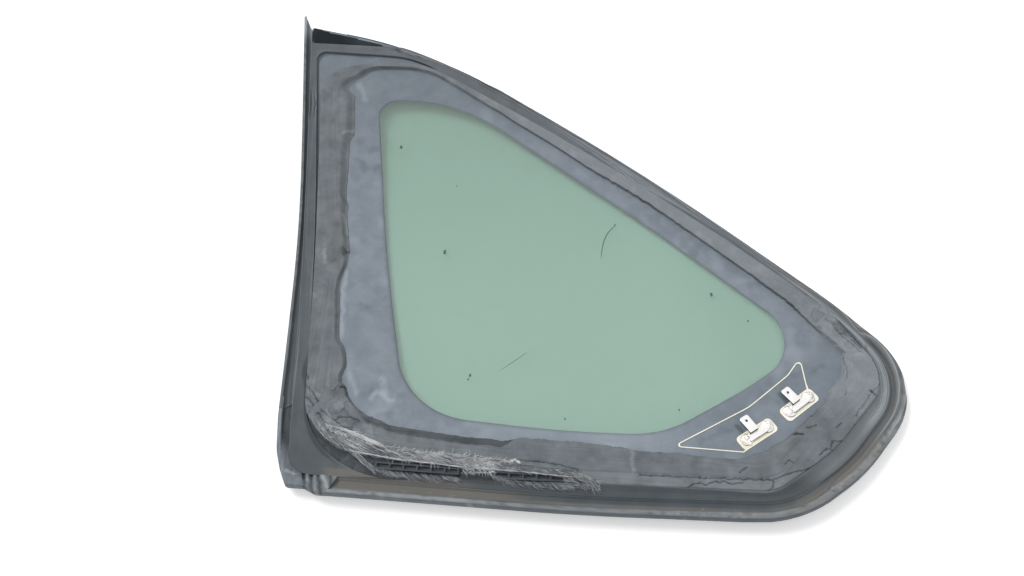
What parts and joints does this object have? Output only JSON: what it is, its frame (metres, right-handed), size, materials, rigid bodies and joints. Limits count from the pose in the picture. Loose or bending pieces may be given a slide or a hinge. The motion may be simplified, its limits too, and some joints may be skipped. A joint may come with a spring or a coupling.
{
  "type": "vehicle rear quarter window",
  "caption": "Bonded, fixed rear quarter window of a vehicle, removed and lying inner face up, with black border, rubber seal, cut adhesive bead and two aerial contacts.",
  "frame": {"origin": "centre of the bounding box at its lowest plane, which the convex outer face touches", "axes": "+X along the sill to the rear nose, +Y up the window from sill to top corner, +Z from the outer face to the inner, cabin face"},
  "size_m": [0.4014, 0.3866, 0.0192],
  "materials": {
    "tinted_glass": "clear tempered glass with a green tint, lightly dusty",
    "black_frit": "matt ceramic print with primer and dust, grey-blue",
    "seal_rubber": "weathered dark grey moulded rubber with brown dust",
    "cut_adhesive": "knife-cut grey-black polyurethane adhesive, matt",
    "ladder_plastic": "black moulded plastic",
    "silver_print": "fired silver print, pale cream",
    "tinned_terminal": "tinned copper sheet, dull bright",
    "solder": "dull soft solder"
  },
  "bodies": {
    "root": {"glass_pane": "tinted_glass", "frit_band": "black_frit", "seal_moulding": "seal_rubber", "front_lip": "seal_rubber", "corner_block": "seal_rubber", "adhesive_sill": "cut_adhesive", "adhesive_nose": "cut_adhesive", "adhesive_roof": "cut_adhesive", "adhesive_front": "cut_adhesive", "adhesive_corner": "cut_adhesive", "sill_ladder_front": "ladder_plastic", "sill_ladder_rear": "ladder_plastic", "silver_print": "silver_print", "terminal_lower": "tinned_terminal", "terminal_upper": "tinned_terminal", "solder_lower": "solder", "solder_upper": "solder"}
  },
  "joints": []
}
